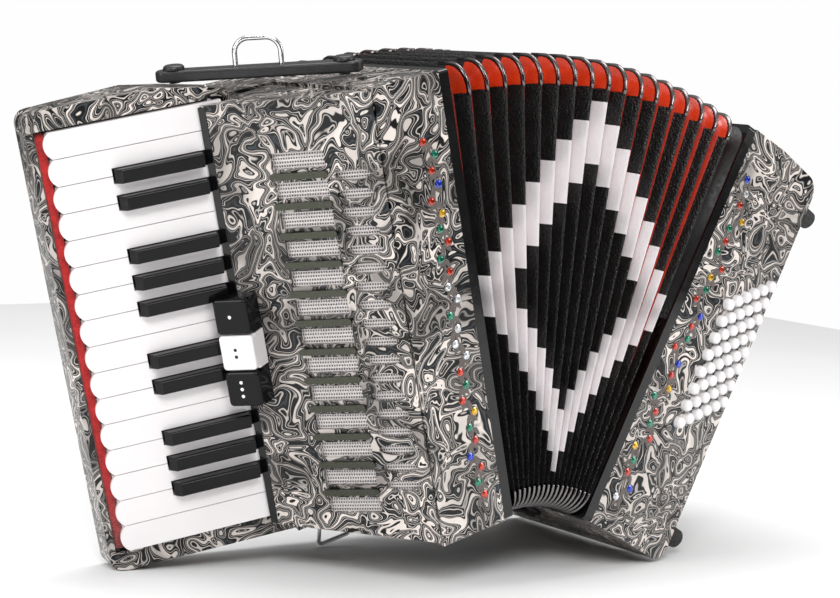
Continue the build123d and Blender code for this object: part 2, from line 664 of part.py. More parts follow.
with BuildPart() as lower_ring_lug:
    with BuildSketch(Plane.YZ.offset(LUG_X)):
        with BuildLine():
            Polyline(
                (LUG_Y - LUG_PLATE_HALF, LUG_FOOT), (LUG_Y + LUG_PLATE_HALF, LUG_FOOT),
                (LUG_Y + LUG_PLATE_HALF, LUG_FOOT - LUG_PLATE), (LUG_Y + LUG_NECK, LUG_NECK_Z),
                (LUG_Y + LUG_TIP, LUG_LOW), (LUG_Y - LUG_TIP, LUG_LOW),
                (LUG_Y - LUG_NECK, LUG_NECK_Z), (LUG_Y - LUG_PLATE_HALF, LUG_FOOT - LUG_PLATE), close=True,
            )
        make_face()
    extrude(amount=LUG_HALF, both=True)
    with BuildSketch(Plane.YZ.offset(LUG_X)):
        with Locations((LUG_Y, EYE_Z)):
            Circle(EYE_RADIUS)
    extrude(amount=LUG_HALF + 1, both=True, mode=Mode.SUBTRACT)
finish(lower_ring_lug.part, "lower_ring_lug", 0)


def lower_ring_point(x, z):
    return (LUG_X + x, LUG_Y, EYE_Z + z)


with BuildPart() as lower_strap_ring:
    with BuildLine():
        FilletPolyline(
            lower_ring_point(0, 0), lower_ring_point(LOWER_TOP, 0), lower_ring_point(LOWER_HALF, -LOWER_DROP),
            lower_ring_point(-LOWER_HALF, -LOWER_DROP), lower_ring_point(-LOWER_TOP, 0),
            lower_ring_point(-WIRE_JOINT, 0),
            radius=3,
        )
    with BuildSketch(Plane(origin=lower_ring_point(0, 0), z_dir=(1, 0, 0))):
        Circle(LOWER_WIRE)
    sweep()
finish(lower_strap_ring.part, "lower_strap_ring", 0)


# ---- bass casing, buttons and feet ------------------------------------------------------------------
BOARD_PORTS = 10
BOARD_PORT_PITCH = 24.0
BOARD_PORT_SPACING = 56.0
BOARD_PORT_LENGTH = 20.0
BOARD_PORT_HEIGHT = 8.0
PANEL_UP = panel_plane(0).y_dir.Z


def button_places(row):
    """Places of a row's buttons in the panel's plane, from the lowest one up."""
    along = FIRST_ROW_X - PANEL_START + row * BUTTON_ROW_SPACING
    return [(along, PANEL_UP * number * BUTTON_PITCH) for number in range(BUTTONS_PER_ROW)]


with BuildPart() as bass_casing:
    with BuildSketch(Plane.XY):
        with BuildLine():
            Polyline(
                (FRAME_THICKNESS, FRONT), (PANEL_START, FRONT), (BASS_THICKNESS, FRONT + PANEL_SLOPE),
                (BASS_THICKNESS, BACK), (FRAME_THICKNESS, BACK), close=True,
            )
        make_face()
    extrude(amount=HEIGHT)
    with BuildSketch(Plane.XY.offset(WALL)):
        with BuildLine():
            Polyline(
                (FRAME_THICKNESS - 1, FRONT + WALL), (PANEL_START, FRONT + WALL),
                (BASS_THICKNESS - WALL, FRONT + PANEL_SLOPE + WALL), (BASS_THICKNESS - WALL, BACK - WALL),
                (FRAME_THICKNESS - 1, BACK - WALL), close=True,
            )
        make_face()
    extrude(amount=HEIGHT - 2 * WALL, mode=Mode.SUBTRACT)
    # solid blocks inside the rounded outer corners
    for level in (WALL, HEIGHT - WALL - BASS_CORNER):
        with BuildSketch(Plane.XY.offset(level)):
            with Locations((BASS_THICKNESS - BASS_CORNER / 2 - WALL / 2, PANEL_SLOPE / 2)):
                Rectangle(BASS_CORNER - WALL + 4, DEPTH - PANEL_SLOPE - 2)
        extrude(amount=BASS_CORNER)
    # inner board that carries the reed blocks
    with BuildSketch(Plane.XY.offset(WALL)):
        with Locations((BASS_BOARD_X + BASS_BOARD / 2, 0)):
            Rectangle(BASS_BOARD, DEPTH - 2 * WALL)
    extrude(amount=HEIGHT - 2 * WALL)
    with BuildSketch(Plane.YZ.offset(BASS_BOARD_X)):
        with Locations((0, MID_HEIGHT)):
            with GridLocations(BOARD_PORT_SPACING, BOARD_PORT_PITCH, 2, BOARD_PORTS):
                Rectangle(BOARD_PORT_LENGTH, BOARD_PORT_HEIGHT)
    extrude(amount=BASS_BOARD, mode=Mode.SUBTRACT)
    outer_corner = bass_casing.edges().filter_by(
        lambda e: abs(e.center().X - BASS_THICKNESS) < NEAR
        and abs(abs(e.center().Z - MID_HEIGHT) - MID_HEIGHT) < NEAR
    )
    fillet(outer_corner, radius=BASS_CORNER)
    for row in range(BUTTON_ROWS):
        with BuildSketch(panel_plane(FIRST_BUTTON_Z + row * BUTTON_ROW_SHIFT, OVERCUT)):
            with Locations(button_places(row)):
                Circle(BUTTON_RADIUS + BUTTON_HOLE_CLEARANCE)
        extrude(amount=-WALL - 2 * OVERCUT, mode=Mode.SUBTRACT)
finish(bass_casing.part, "bass_casing", 1)

for row in range(BUTTON_ROWS):
    with BuildPart() as button_row:
        with BuildSketch(panel_plane(FIRST_BUTTON_Z + row * BUTTON_ROW_SHIFT, -BUTTON_STEM)):
            with Locations(button_places(row)):
                Circle(BUTTON_RADIUS)
        extrude(amount=BUTTON_STEM + BUTTON_RISE)
        outward = Axis(origin=(0, 0, 0), direction=panel_plane(0).z_dir)
        crowns = button_row.faces().sort_by(outward)[-BUTTONS_PER_ROW:]
        fillet(crowns.edges(), radius=BUTTON_CROWN)
    finish(button_row.part, f"bass_button_row_{row + 1}", 1)

with BuildPart() as bass_feet:
    with BuildSketch(Plane.YZ.offset(BASS_THICKNESS)):
        with Locations((PANEL_SLOPE / 2, MID_HEIGHT)):
            with GridLocations(FOOT_SPREAD_Y, FOOT_SPREAD_Z, 2, 2):
                Circle(FOOT_RADIUS)
    extrude(amount=FOOT_HEIGHT, taper=FOOT_TAPER)
finish(bass_feet.part, "bass_feet", 1)

STRAP_Y = 30.0
STRAP_WIDTH = 52.0
STRAP_BULGE = 30.0
STRAP_THICKNESS = 4.0
STRAP_X = BASS_THICKNESS + FIT_GAP
STRAP_PEAK = BASS_THICKNESS + STRAP_BULGE
STRAP_LOW = 52.0
STRAP_PAD = 12.0          # length of the strap's flat ends
STRAP_HIGH = HEIGHT - STRAP_LOW

with BuildPart() as hand_strap:
    with BuildSketch(Plane.XZ.offset(-STRAP_Y)):
        with BuildLine():
            ThreePointArc((STRAP_X, STRAP_LOW), (STRAP_PEAK, MID_HEIGHT), (STRAP_X, STRAP_HIGH))
            Line((STRAP_X, STRAP_HIGH), (STRAP_X, STRAP_HIGH - STRAP_PAD))
            ThreePointArc(
                (STRAP_X, STRAP_HIGH - STRAP_PAD), (STRAP_PEAK - STRAP_THICKNESS, MID_HEIGHT),
                (STRAP_X, STRAP_LOW + STRAP_PAD),
            )
            Line((STRAP_X, STRAP_LOW + STRAP_PAD), (STRAP_X, STRAP_LOW))
        make_face()
    extrude(amount=STRAP_WIDTH / 2, both=True)
finish(hand_strap.part, "hand_strap", 1)

WHEEL_RADIUS = 11.0
WHEEL_X = 88.0
WHEEL_TEETH = 24
WHEEL_HEIGHT = 6.0
WHEEL_GAP = 0.2
WHEEL_HUB = 6.0
WHEEL_HUB_HEIGHT = 2.0
with BuildPart() as strap_wheel:
    with BuildSketch(Plane.XY.offset(HEIGHT + WHEEL_GAP)):
        with Locations((WHEEL_X, STRAP_Y)):
            RegularPolygon(WHEEL_RADIUS, WHEEL_TEETH)
    extrude(amount=WHEEL_HEIGHT)
    with BuildSketch(Plane.XY.offset(HEIGHT + WHEEL_GAP + WHEEL_HEIGHT)):
        with Locations((WHEEL_X, STRAP_Y)):
            Circle(WHEEL_HUB)
    extrude(amount=WHEEL_HUB_HEIGHT)
finish(strap_wheel.part, "hand_strap_wheel", 1)

AIR_Y = -46.0
AIR_Z = 62.0
AIR_RADIUS = 7.0
AIR_HEIGHT = 5.0
AIR_GAP = 1.6             # more than the button's travel
AIR_ROUND = 2.0

with BuildPart() as air_button:
    with BuildSketch(Plane.YZ.offset(BASS_THICKNESS + AIR_GAP)):
        with Locations((AIR_Y, AIR_Z)):
            Circle(AIR_RADIUS)
    extrude(amount=AIR_HEIGHT)
    fillet(air_button.faces().sort_by(Axis.X)[-1].edges(), radius=AIR_ROUND)
finish(air_button.part, "air_button", 1)

BASS_BLOCK_SPACING = 50.0
BASS_BLOCK_RISE = 26.0
BASS_BLOCK_WIDTH = 22.0
BASS_BLOCK_END_GAP = 14.0

with BuildPart() as bass_reed_blocks:
    for block_y in (-BASS_BLOCK_SPACING, 0, BASS_BLOCK_SPACING):
        with BuildSketch(Plane.XY.offset(WALL + BASS_BLOCK_END_GAP)):
            with Locations((BASS_BOARD_X - BASS_BLOCK_RISE / 2, block_y)):
                Rectangle(BASS_BLOCK_RISE, BASS_BLOCK_WIDTH)
        extrude(amount=HEIGHT - 2 * (WALL + BASS_BLOCK_END_GAP))
finish(bass_reed_blocks.part, "bass_reed_blocks", 1)

# Bottom bellows strap with its snap base, under the pinched end of the bellows.
STRAP_TURN = radians(FAN_ANGLE / 2)
CHORD = Plane(origin=(0, 0, 0), x_dir=(-cos(STRAP_TURN), 0, -sin(STRAP_TURN)), z_dir=(0, 1, 0))
CHORD_DOWN = -1 if CHORD.y_dir.Z > 0 else 1
SNAP_X = 26.0
SNAP_RADIUS = 11.0
SNAP_THICKNESS = 3.8
SNAP_Z = -4.0
BELT_START = -26.0        # along the chord between the two sides
BELT_END = 42.0
BELT_KNEE = 0.8
BELT_DROP = 5.0
BELT_START_DROP = 14.3
BELT_THICKNESS = 2.4
BELT_HALF_WIDTH = 8.0

with BuildPart() as bellows_strap:
    with BuildSketch(Plane.XY.offset(SNAP_Z)):
        with Locations((SNAP_X, 0)):
            Circle(SNAP_RADIUS)
    extrude(amount=SNAP_THICKNESS)
    with BuildSketch(CHORD):
        with BuildLine():
            belt_low = CHORD_DOWN * (BELT_DROP + BELT_THICKNESS)
            Polyline(
                (BELT_START, CHORD_DOWN * BELT_START_DROP), (0, CHORD_DOWN * BELT_DROP),
                (BELT_END, CHORD_DOWN * BELT_DROP), (BELT_END, belt_low), (BELT_KNEE, belt_low),
                (BELT_START, CHORD_DOWN * (BELT_START_DROP + BELT_THICKNESS)), close=True,
            )
        make_face()
    extrude(amount=BELT_HALF_WIDTH, both=True)
finish(bellows_strap.part, "bottom_bellows_strap", 1)


# ---- bellows: fold packs --------------------------------------------------------------------------
def fold_pack():
    """Three folds as one ring: grooved outside, hollow inside."""
    with BuildPart() as ring:
        with BuildSketch(Plane.YZ.offset(-PACK_THICKNESS / 2)):
            with Locations((0, MID_HEIGHT)):
                Rectangle(DEPTH, HEIGHT)
                Rectangle(DEPTH - 2 * PACK_WALL, HEIGHT - 2 * PACK_WALL, mode=Mode.SUBTRACT)
        extrude(amount=PACK_THICKNESS)
        for groove_x in (-PACK_THICKNESS / 6, PACK_THICKNESS / 6):
            with BuildSketch(Plane.YZ.offset(groove_x - GROOVE_WIDTH / 2)):
                with Locations((0, MID_HEIGHT)):
                    Rectangle(DEPTH + 2, HEIGHT + 2)
                    Rectangle(DEPTH - 2 * PACK_GROOVE, HEIGHT - 2 * PACK_GROOVE, mode=Mode.SUBTRACT)
            extrude(amount=GROOVE_WIDTH, mode=Mode.SUBTRACT)
    return ring.part


for pack in range(1, PACKS + 1):
    finish(fold_pack(), f"bellows_fold_pack_{pack}", pack / (PACKS + 1))


# ---- common origin: centred in plan, on the ground -------------------------------------------------
placed = [(part.label, place * part) for part, place in finished]
boxes = [part.bounding_box() for _, part in placed]
LOW = Vector(min(b.min.X for b in boxes), min(b.min.Y for b in boxes), min(b.min.Z for b in boxes))
HIGH = Vector(max(b.max.X for b in boxes), max(b.max.Y for b in boxes), max(b.max.Z for b in boxes))
ORIGIN_SHIFT = Vector(-(LOW.X + HIGH.X) / 2, -(LOW.Y + HIGH.Y) / 2, -LOW.Z)

os.makedirs("parts", exist_ok=True)
for name, part in placed:
    shifted = part.moved(Location(ORIGIN_SHIFT))
    shifted.label = name
    export_step(shifted, f"parts/{name}.step")
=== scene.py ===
import json
from math import asin, atan2, cos, pi, radians, sin, tau

import bpy
from mathutils import Matrix, Vector


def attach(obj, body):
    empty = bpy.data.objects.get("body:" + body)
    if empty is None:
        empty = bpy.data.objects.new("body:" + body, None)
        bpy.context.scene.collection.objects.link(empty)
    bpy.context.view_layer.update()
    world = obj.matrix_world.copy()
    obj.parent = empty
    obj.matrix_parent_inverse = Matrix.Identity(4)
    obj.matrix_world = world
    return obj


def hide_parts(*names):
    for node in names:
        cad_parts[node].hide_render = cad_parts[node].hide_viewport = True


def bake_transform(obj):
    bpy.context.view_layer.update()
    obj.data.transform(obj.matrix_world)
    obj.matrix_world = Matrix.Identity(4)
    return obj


# A 26-key piano accordion: materials for the CAD nodes, and bellows, straps, trim and rhinestones
# as meshes built here. Local places are in millimetres, in the upright frame of one side: x = 0
# where the bellows start, y = 0 midway between front (-y) and back, z = 0 at the bellows' bottom.

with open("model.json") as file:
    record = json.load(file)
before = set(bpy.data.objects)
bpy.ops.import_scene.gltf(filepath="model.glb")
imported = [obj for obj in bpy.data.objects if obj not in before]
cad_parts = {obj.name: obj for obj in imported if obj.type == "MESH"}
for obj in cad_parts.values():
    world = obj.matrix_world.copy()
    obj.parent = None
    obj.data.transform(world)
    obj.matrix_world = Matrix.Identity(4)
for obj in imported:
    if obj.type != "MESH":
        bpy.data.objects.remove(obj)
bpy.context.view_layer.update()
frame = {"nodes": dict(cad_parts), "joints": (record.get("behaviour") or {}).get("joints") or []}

MM = 0.001
JOINTS = {joint["name"]: joint for joint in frame["joints"]}
FAN_JOINT = JOINTS["bass_fan"]
FAN = radians(-FAN_JOINT["range_deg"][0])
TREBLE_UP = -Vector(JOINTS["white_key_01_b_press"]["axis"])
LEAN = atan2(-TREBLE_UP.x, TREBLE_UP.z)
FAN_RADIUS = 97.0
HEIGHT = 325.0
FRONT = -90.0
BACK = 90.0
MIDDLE = FAN / 2 - LEAN
APEX = Vector(FAN_JOINT["pos_m"]) - FAN_RADIUS * MM * Vector((sin(MIDDLE), 0, cos(MIDDLE)))
PLANES = 18               # fold planes from the treble frame (0) to the bass frame (18)
PACK_STEP = 3             # every third plane rides on a fold pack of the frame


def side(share):
    """The upright local frame at a share of the fan: 0 is the treble side, 1 the bass side."""
    turn = Matrix.Rotation(share * FAN - LEAN, 4, "Y")
    return Matrix.Translation(APEX) @ turn @ Matrix.Translation((0, 0, FAN_RADIUS * MM))


def at(share, x, y, z):
    return side(share) @ Vector((x * MM, y * MM, z * MM))


# ---- meshes ------------------------------------------------------------------------------------
def piece(name, points, faces, materials, body=None, choices=None, smooth=True):
    """A mesh from points and faces. choices gives the number of each face's material."""
    mesh = bpy.data.meshes.new(name)
    mesh.from_pydata([tuple(p) for p in points], [], faces)
    obj = bpy.data.objects.new(name, mesh)
    bpy.context.scene.collection.objects.link(obj)
    for material in materials:
        mesh.materials.append(material)
    if choices:
        mesh.polygons.foreach_set("material_index", choices)
    mesh.polygons.foreach_set("use_smooth", [smooth] * len(mesh.polygons))
    mesh.validate()
    mesh.update()
    if body:
        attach(obj, body)
    return obj


def sweep(rings, closed_ring=True, caps=True):
    """Points and faces of a skin over rings that have equal numbers of points."""
    count = len(rings[0])
    points = [p for ring in rings for p in ring]
    last = count if closed_ring else count - 1
    faces = []
    for row in range(len(rings) - 1):
        for k in range(last):
            after = (k + 1) % count
            low, high = row * count, (row + 1) * count
            faces.append((low + k, low + after, high + after, high + k))
    if caps:
        faces.append(tuple(reversed(range(count))))
        faces.append(tuple(range((len(rings) - 1) * count, len(rings) * count)))
    return points, faces


def join(parts):
    """Several (points, faces) lists as one."""
    points, faces = [], []
    for more_points, more_faces in parts:
        first = len(points)
        points += list(more_points)
        faces += [tuple(first + k for k in face) for face in more_faces]
    return points, faces


def rounded_rectangle(width, height, radius, steps=4):
    """Points of a rounded rectangle about the origin."""
    points = []
    for corner in range(4):
        centre_x = (width / 2 - radius) * (1 if corner in (0, 3) else -1)
        centre_y = (height / 2 - radius) * (1 if corner in (0, 1) else -1)
        for step in range(steps + 1):
            angle = (corner + step / steps) * pi / 2
            points.append((centre_x + radius * cos(angle), centre_y + radius * sin(angle)))
    return points


def circle(count):
    """Equally spaced angles of a full turn."""
    return [k / count * tau for k in range(count)]


def bar(section, path, across, up):
    """A section swept along a path with fixed across and up directions."""
    rings = [[p + across * (a * MM) + up * (b * MM) for a, b in section] for p in path]
    return sweep(rings)


# ---- materials ---------------------------------------------------------------------------------
class Paint:
    """A node material: a Principled shader and short calls for the nodes in front of it."""

    def __init__(self, name, **values):
        self.material = bpy.data.materials.new(name)
        self.material.use_nodes = True
        self.tree = self.material.node_tree
        self.shader = self.tree.nodes["Principled BSDF"]
        for socket, value in values.items():
            self.shader.inputs[socket.replace("_", " ")].default_value = value

    def node(self, kind, options=(), **inputs):
        """A new node. An input is given by its name, or by its number after an i."""
        made = self.tree.nodes.new(kind)
        for option, value in options:
            setattr(made, option, value)
        for socket, value in inputs.items():
            by_number = socket[0] == "i" and socket[1:].isdigit()
            target = made.inputs[int(socket[1:]) if by_number else socket]
            if isinstance(value, bpy.types.NodeSocket):
                self.tree.links.new(value, target)
            else:
                target.default_value = value
        return made

    def place(self):
        return self.node("ShaderNodeTexCoord").outputs["Object"]

    def noise(self, where, scale, detail):
        return self.node("ShaderNodeTexNoise", Vector=where, Scale=scale, Detail=detail)

    def maths(self, operation, first, second=0.0):
        return self.node("ShaderNodeMath", [("operation", operation)], i0=first, i1=second).outputs[0]

    def vector(self, operation, first, second):
        return self.node("ShaderNodeVectorMath", [("operation", operation)], i0=first, i1=second).outputs[0]

    def along(self, where, direction):
        """Distance along a fixed direction."""
        options = [("operation", "DOT_PRODUCT")]
        made = self.node("ShaderNodeVectorMath", options, i0=where, i1=tuple(direction))
        return made.outputs["Value"]

    def wave(self, angle):
        """A cosine wave between 0 and 1."""
        return self.maths("ADD", self.maths("MULTIPLY", self.maths("COSINE", angle), 0.5), 0.5)

    def stir(self, where, scale, detail, reach):
        """The place pushed about by a noise."""
        push = self.vector("SUBTRACT", self.noise(where, scale, detail).outputs["Color"], (0.5,) * 3)
        return self.vector("ADD", where, self.vector("MULTIPLY", push, (reach,) * 3))

    def ramp(self, value, stops, smooth=False):
        made = self.node("ShaderNodeValToRGB", i0=value)
        ramp = made.color_ramp
        ramp.interpolation = "EASE" if smooth else "LINEAR"
        while len(ramp.elements) < len(stops):
            ramp.elements.new(0.5)
        for element, (position, colour) in zip(ramp.elements, stops):
            element.position = position
            element.color = (*colour, 1) if hasattr(colour, "__len__") else (colour, colour, colour, 1)
        return made.outputs["Color"]

    def set(self, socket, value):
        self.tree.links.new(value, self.shader.inputs[socket])

    def bump(self, height, distance, strength=1.0):
        made = self.node("ShaderNodeBump", Height=height, Distance=distance, Strength=strength)
        self.set("Normal", made.outputs["Normal"])


def shades(colour, dark, light):
    """A darker and a lighter tone of a colour."""
    return tuple(c * dark for c in colour), tuple(min(1.0, c * light) for c in colour)


def marble(name):
    """Celluloid with black, slate and cream swirls under a clear gloss."""
    paint = Paint(name, Coat_Weight=0.25, Coat_Roughness=0.06, Roughness=0.30, Specular_IOR_Level=0.22)
    place = paint.place()
    moved = paint.stir(place, 24.0, 1.0, 0.055)
    moved = paint.stir(moved, 70.0, 0.0, 0.020)
    field = paint.noise(moved, 42.0, 0.7).outputs["Fac"]
    bands = paint.maths("PINGPONG", paint.maths("MULTIPLY", field, 13.0), 1.0)
    cream, pale, grey = (0.62, 0.565, 0.525), (0.46, 0.42, 0.39), 0.24
    slate, black = (0.040, 0.047, 0.055), 0.0015
    colour = paint.ramp(bands, [
        (0.0, slate), (0.10, black), (0.25, black), (0.29, cream), (0.36, pale), (0.40, black), (0.54, black),
        (0.58, grey), (0.62, pale), (0.66, black), (0.78, black), (0.82, cream), (1.0, cream),
    ])
    cloud = paint.noise(moved, 22.0, 1.0).outputs["Fac"]
    pearl = paint.ramp(cloud, [(0.36, 0.42), (0.5, 0.92), (0.62, 1.2)], True)
    paint.set("Base Color", paint.vector("MULTIPLY", colour, pearl))
    paint.bump(paint.noise(place, 24.0, 1.0).outputs["Fac"], 0.0012, 0.35)
    return paint.material


def plain(name, colour, spread, scale, bump_depth, bump_scale, **values):
    """A colour that varies a little, with fine relief."""
    paint = Paint(name, **values)
    place = paint.place()
    low, high = shades(colour, 1 - spread, 1 + spread)
    tone = paint.noise(place, scale, 4.0).outputs["Fac"]
    paint.set("Base Color", paint.ramp(tone, [(0.3, low), (0.7, high)]))
    rough = values.get("Roughness", 0.5)
    wear = paint.noise(place, scale * 3, 3.0).outputs["Fac"]
    paint.set("Roughness", paint.ramp(wear, [(0.35, rough * 0.8), (0.7, min(1.0, rough * 1.25))]))
    paint.bump(paint.noise(place, bump_scale, 3.0).outputs["Fac"], bump_depth)
    return paint.material


def leatherette(name, colour, roughness, depth, sheen):
    """Embossed covering of the bellows and straps, with small round grains."""
    paint = Paint(name, Sheen_Weight=sheen, Sheen_Roughness=0.4, Specular_IOR_Level=0.35)
    place = paint.place()
    grain = paint.node(
        "ShaderNodeTexVoronoi", [("feature", "SMOOTH_F1")], Vector=place, Scale=620.0, Smoothness=0.5,
    )
    height = paint.maths("SUBTRACT", 1.0, grain.outputs["Distance"])
    tone = paint.noise(place, 90.0, 3.0).outputs["Fac"]
    low, high = shades(colour, 0.8, 1.15)
    paint.set("Base Color", paint.ramp(tone, [(0.35, low), (0.65, high)]))
    paint.set("Roughness", paint.ramp(tone, [(0.3, roughness * 0.9), (0.7, roughness * 1.1)]))
    paint.bump(height, depth, 0.8)
    return paint.material


def woven_metal(name, run, up, pitch, run_ratio):
    """Silver mesh: wires that pass over and under each other, with painted shade in the gaps between them."""
    paint = Paint(name, Metallic=0.45, Roughness=0.38)
    place = paint.place()
    rise = paint.maths("MULTIPLY", paint.along(place, up), tau / (pitch * MM))
    run_turn = paint.maths("MULTIPLY", paint.along(place, run), tau / (pitch * run_ratio * MM))
    stagger = paint.maths("MULTIPLY", paint.maths("COSINE", paint.maths("MULTIPLY", rise, 0.5)), 1.2)
    column = paint.wave(paint.maths("ADD", run_turn, stagger))
    height = paint.maths("SUBTRACT", 1.0, paint.maths("MULTIPLY", paint.wave(rise), column))
    # The colour is painted shade by height: near black in the gaps between the wires, darker down their
    # sides, silver on the raised wires.
    paint.set("Base Color", paint.ramp(height, [(0.12, 0.03), (0.38, 0.24), (0.72, (0.64, 0.60, 0.59))]))
    paint.bump(height, 0.0006, 0.9)
    return paint.material


STREAK_RATIO = 14.0       # how many times longer a streak is than it is wide
STREAK_SCALE = 260.0


def brushed(name, colour, roughness, direction):
    """Metal with fine streaks along a direction."""
    paint = Paint(name, Metallic=1.0)
    place = paint.place()
    side_a = Vector(direction).orthogonal().normalized()
    side_b = Vector(direction).cross(side_a).normalized()
    streak = paint.node(
        "ShaderNodeCombineXYZ", i0=paint.along(place, direction),
        i1=paint.maths("MULTIPLY", paint.along(place, side_a), STREAK_RATIO),
        i2=paint.maths("MULTIPLY", paint.along(place, side_b), STREAK_RATIO),
    ).outputs[0]
    fine = paint.noise(streak, STREAK_SCALE, 3.0).outputs["Fac"]
    low, high = shades(colour, 0.8, 1.2)
    paint.set("Base Color", paint.ramp(fine, [(0.3, low), (0.7, high)]))
    paint.set("Roughness", paint.ramp(fine, [(0.3, roughness * 0.75), (0.7, roughness * 1.3)]))
    paint.bump(fine, 0.00006)
    return paint.material


KEYBOARD_TURN = radians(19.7)
KEY_REAR = (-130.0, 23.0)
CREASE = (-63.0, FRONT)


def keyboard_point(u, w):
    """Local x and y of a point u along the keys and w above their surface."""
    run = Vector((-cos(KEYBOARD_TURN), sin(KEYBOARD_TURN)))
    rise = Vector((-sin(KEYBOARD_TURN), -cos(KEYBOARD_TURN)))
    p = Vector(KEY_REAR) + u * run + w * rise
    return p.x, p.y


GRILLE_RUN = Vector(keyboard_point(0, 3)) - Vector(CREASE)
GRILLE_LENGTH = GRILLE_RUN.length
GRILLE_DIR = GRILLE_RUN.normalized()
GRILLE_OUT = Vector((-GRILLE_DIR.y, GRILLE_DIR.x))


def on_grille(along, z, lift=0.0):
    """World point of the grille: along from the crease to the keyboard, lifted off its face."""
    p = Vector(CREASE) + GRILLE_DIR * along + GRILLE_OUT * lift
    return at(0, p.x, p.y, z)


TREBLE_TURN = side(0).to_3x3()
BASS_TURN = side(1).to_3x3()
GRILLE_RUN_WORLD = TREBLE_TURN @ Vector((GRILLE_DIR.x, GRILLE_DIR.y, 0))
GRILLE_OUT_WORLD = TREBLE_TURN @ Vector((GRILLE_OUT.x, GRILLE_OUT.y, 0))
KEY_RUN_WORLD = TREBLE_TURN @ Vector((-cos(KEYBOARD_TURN), sin(KEYBOARD_TURN), 0))

marbled = marble("marbled_celluloid")
ivory = plain(
    "ivory_keys", (0.84, 0.81, 0.815), 0.03, 9.0, 0.00008, 60.0, Roughness=0.16, Coat_Weight=0.6,
    Coat_Roughness=0.05,
)
black_key_gloss = plain(
    "black_keys", (0.004, 0.004, 0.0045), 0.2, 30.0, 0.00006, 90.0, Roughness=0.16, Specular_IOR_Level=0.15,
    Coat_Weight=0.12, Coat_Roughness=0.05,
)
lacquer = plain(
    "black_lacquer", (0.004, 0.004, 0.0045), 0.2, 25.0, 0.0001, 70.0, Roughness=0.15, Specular_IOR_Level=0.3,
    Coat_Weight=0.3, Coat_Roughness=0.06,
)
button_white = plain(
    "button_white", (0.84, 0.82, 0.825), 0.03, 60.0, 0.00005, 300.0, Roughness=0.2, Coat_Weight=0.5,
    Coat_Roughness=0.06,
)
rubber = plain("rubber", (0.018, 0.018, 0.019), 0.3, 120.0, 0.0002, 500.0, Roughness=0.7)
satin_black = plain("satin_black", (0.016, 0.016, 0.017), 0.25, 60.0, 0.0001, 350.0, Roughness=0.38)
leather = leatherette("black_leather", (0.014, 0.013, 0.013), 0.5, 0.0004, 0.1)
tape_black = leatherette("bellows_tape_black", (0.005, 0.0048, 0.0047), 0.42, 0.0008, 0.05)
tape_white = plain(
    "bellows_tape_white", (0.74, 0.70, 0.71), 0.05, 80.0, 0.00025, 500.0, Roughness=0.42, Sheen_Weight=0.3,
)
gusset_red = plain(
    "red_gusset", (0.50, 0.028, 0.003), 0.15, 60.0, 0.0002, 260.0, Roughness=0.3, Coat_Weight=0.4,
    Coat_Roughness=0.15,
)
valley_red = plain(
    "red_valley_cloth", (0.52, 0.026, 0.004), 0.2, 90.0, 0.0003, 700.0, Roughness=0.6, Sheen_Weight=0.3,
)
card_black = plain("black_bellows_card", (0.01, 0.009, 0.009), 0.2, 80.0, 0.0002, 500.0, Roughness=0.55)
chrome = brushed("chrome", (0.72, 0.72, 0.74), 0.10, (0, 0, 1))
smoky_chrome = brushed("smoky_chrome", (0.17, 0.15, 0.15), 0.13, (0, 1, 0))
gunmetal = brushed("gunmetal", (0.20, 0.19, 0.19), 0.14, TREBLE_UP)
bar_metal = brushed("olive_bar_metal", (0.075, 0.078, 0.062), 0.30, GRILLE_RUN_WORLD)
MESH_PITCH = 2.6          # between rows of loops
MESH_RATIO = 0.74         # of the pitch along a row to that
silver_mesh = woven_metal("silver_mesh", GRILLE_RUN_WORLD, TREBLE_UP, MESH_PITCH, MESH_RATIO)
felt = plain("red_felt", (0.55, 0.012, 0.012), 0.25, 220.0, 0.0008, 900.0, Roughness=0.95, Sheen_Weight=0.8)
vine_metal = plain(
    "vine_print", (0.135, 0.115, 0.105), 0.12, 120.0, 0.0001, 500.0, Roughness=0.35, Metallic=0.4,
)
wood = plain("reed_block_wood", (0.42, 0.27, 0.13), 0.25, 40.0, 0.0003, 260.0, Roughness=0.6)
thread = plain("white_thread", (0.55, 0.53, 0.5), 0.1, 300.0, 0.0002, 900.0, Roughness=0.7)

NODE_PAINT = {
    "treble_casing": marbled, "bass_casing": marbled, "grille_cover": marbled,
    "treble_bellows_frame": lacquer, "bass_bellows_frame": lacquer,
    "grille_mesh": silver_mesh, "grille_bars": bar_metal, "register_switch_1": black_key_gloss,
    "register_switch_2": ivory, "register_switch_3": black_key_gloss, "key_axle": chrome,
    "treble_reed_blocks": wood, "bass_reed_blocks": wood, "shoulder_strap_bar": satin_black,
    "shoulder_strap_bar_screws": satin_black, "upper_strap_ring": chrome, "lower_strap_ring": chrome,
    "lower_ring_lug": chrome, "bass_feet": rubber, "hand_strap_wheel": satin_black,
    "air_button": button_white,
}
NODE_PREFIX_PAINT = {"white_key": ivory, "black_key": black_key_gloss, "bass_button_row": button_white}

for node_name, node in frame["nodes"].items():
    node_paint = NODE_PAINT.get(node_name)
    for prefix, prefix_paint in NODE_PREFIX_PAINT.items():
        if node_name.startswith(prefix):
            node_paint = prefix_paint
    if node_paint:
        node.data.materials.clear()
        node.data.materials.append(node_paint)

